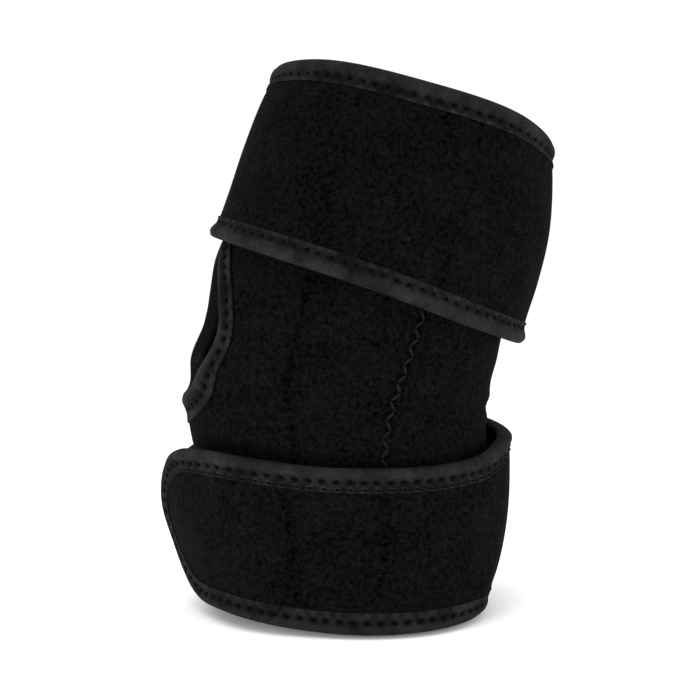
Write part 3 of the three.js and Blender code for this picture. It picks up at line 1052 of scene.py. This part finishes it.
class BRACE_OT_wraps(bpy.types.Operator):
    """Builds the two broad wraps and binds all round each with folded tape"""

    bl_idname = "brace.wraps"
    bl_label = "Build Wraps"

    def execute(self, context):
        for wrap in (UPPER_WRAP, LOWER_WRAP):
            self.build(wrap)
        return {"FINISHED"}

    def build(self, wrap):
        length = wrap_length(wrap)
        ends = 1 - np.cos(np.linspace(0, np.pi / 2, WRAP_CORNER_STEPS))
        middle = np.linspace(ROOT_CORNER, length - END_CORNER, WRAP_STEPS)[1:-1]
        run = np.concatenate([ends * ROOT_CORNER, middle, length - ends[::-1] * END_CORNER])
        root = np.clip(ROOT_CORNER - run, 0, None)
        free = np.clip(run - (length - END_CORNER), 0, None)
        # How far the rounded corners draw both long edges in
        at_root = ROOT_CORNER - np.sqrt(ROOT_CORNER**2 - root**2)
        drawn = at_root + END_CORNER - np.sqrt(END_CORNER**2 - free**2)
        # Each section runs up the inner side and down the outer, and the ends are closed
        share = np.concatenate([np.linspace(0, 1, WRAP_ROWS), np.linspace(1, 0, WRAP_ROWS)])
        offset = np.concatenate([np.zeros(WRAP_ROWS), np.full(WRAP_ROWS, WRAP_WALL)])
        closed = np.full((1, len(share)), WRAP_WALL / 2)
        offset = np.concatenate([closed, np.broadcast_to(offset, (len(run), len(share))), closed])
        run = np.concatenate([run[:1], run, run[-1:]])
        drawn = np.concatenate([drawn[:1], drawn, drawn[-1:]])[:, None]
        r = np.broadcast_to(run[:, None], offset.shape)
        width = wrap_width(wrap, r) - 2 * drawn
        across = drawn + share[None, :] * width
        from_edge = np.minimum(np.minimum(share, 1 - share)[None, :] * width, r)
        outer = offset == WRAP_WALL
        pressed = thinned(np.minimum(from_edge, length - r)) * outer
        name = f"{wrap['name'].capitalize()}_wrap"
        cloth = make_piece(
            name,
            on_wrap(wrap, r, across, offset - pressed),
            grid_faces(len(run), len(share), False, True),
            np.stack([r, across], axis=-1),
            # Painted shade in the seams pressed through the outer face and in the lower wrap's
            # crease
            crease=wrap_crease(wrap, *wrap_place(wrap, r, across)[:2]) * outer,
            material=material_of("Brushed loop fabric"),
            node=f"{wrap['name']}_wrap",
        )
        perimeter = wrap_perimeter(wrap)
        count = perimeter.shape[1]

        def edge(station, inset, offset):
            run0, part, more, run_in, more_in = perimeter[:, station]
            place = run0 + inset * run_in
            across = part * wrap_width(wrap, place) + more + inset * more_in
            return on_wrap(wrap, place, across, offset)

        every = np.ones(count, bool)
        # The lower wrap has a second row along its elbow edge, close to the tape's hem
        if wrap["upper"]:
            rows = [(UPPER_WRAP_ROW, every)]
        else:
            rows = [(LOWER_WRAP_ROW, every), (SECOND_ROW, perimeter[1] == 1)]
        node = f"{wrap['name']}_wrap_binding"
        tape, threads = bind_edge(f"{name}_binding", node, edge, count, 0, WRAP_WALL, rows)


class BRACE_OT_studio(bpy.types.Operator):
    """Sets the pale floor, the soft lights and the camera"""

    bl_idname = "brace.studio"
    bl_label = "Set Studio"

    def execute(self, context):
        scene = context.scene
        sizes = scene.brace_sizes
        half = FLOOR_HALF
        corners = [(-half, -half, 0), (half, -half, 0), (half, half, 0), (-half, half, 0)]
        floor_mesh = bpy.data.meshes.new("Floor")
        floor_mesh.from_pydata(corners, [], [(0, 1, 2, 3)])
        floor = bpy.data.objects.new("Floor", floor_mesh)
        scene.collection.objects.link(floor)
        material, tree, shader = new_material("White paper floor")
        grain = add_node(tree, "ShaderNodeTexNoise", None, {"Scale": 900.0})
        bumped(tree, shader, grain.outputs["Fac"], 0.02, 0.0001)
        shader.inputs["Base Color"].default_value = (*scene.brace_colours.floor, 1)
        shader.inputs["Roughness"].default_value = 0.9
        floor_mesh.materials.append(material)

        world = bpy.data.worlds.new("White studio")
        world.use_nodes = True
        background = world.node_tree.nodes["Background"]
        background.inputs["Color"].default_value = (1, 1, 1, 1)
        background.inputs["Strength"].default_value = WORLD_STRENGTH
        scene.world = world

        for name, place, energy, size in LIGHTS:
            light = bpy.data.lights.new(name, "AREA")
            light.energy = energy
            light.size = size
            lamp = bpy.data.objects.new(name, light)
            lamp.location = place
            x, y, z = LOOKED_AT - np.array(place)
            lamp.rotation_euler = (np.arctan2(np.hypot(x, y), -z), 0, np.arctan2(-x, y))
            scene.collection.objects.link(lamp)

        camera = bpy.data.cameras.new("Camera")
        camera.sensor_width = SENSOR
        camera.lens = FOCAL_PIXELS * SENSOR / PICTURE_WIDTH
        camera.clip_start = 0.01
        eye = bpy.data.objects.new("Camera", camera)
        down = sizes.camera_elevation
        back = np.array([0, -np.cos(down), np.sin(down)])
        eye.location = LOOKED_AT + sizes.camera_distance * back
        eye.rotation_euler = (np.pi / 2 - down, 0, 0)
        scene.collection.objects.link(eye)
        scene.camera = eye
        scene.view_settings.view_transform = "Standard"
        return {"FINISHED"}


class BRACE_PT_panel(bpy.types.Panel):
    bl_idname = "BRACE_PT_panel"
    bl_label = "Elbow Brace"
    bl_space_type = "VIEW_3D"
    bl_region_type = "UI"
    bl_category = "Brace"

    def draw(self, context):
        for group in (context.scene.brace_sizes, context.scene.brace_colours):
            for key in group.__annotations__:
                self.layout.prop(group, key)
        for operator in OPERATORS:
            self.layout.operator(operator.bl_idname)


OPERATORS = (BRACE_OT_sleeve, BRACE_OT_rims, BRACE_OT_wraps, BRACE_OT_studio)
CLASSES = (BraceSizes, BraceColours, *OPERATORS, BRACE_PT_panel)


def register():
    for cls in CLASSES:
        bpy.utils.register_class(cls)
    bpy.types.Scene.brace_sizes = PointerProperty(type=BraceSizes)
    bpy.types.Scene.brace_colours = PointerProperty(type=BraceColours)


def unregister():
    del bpy.types.Scene.brace_colours
    del bpy.types.Scene.brace_sizes
    for cls in reversed(CLASSES):
        bpy.utils.unregister_class(cls)


def main():
    register()
    bpy.ops.brace.sleeve()
    bpy.ops.brace.rims()
    bpy.ops.brace.wraps()
    bpy.ops.brace.studio()


if __name__ == "__main__":
    main()
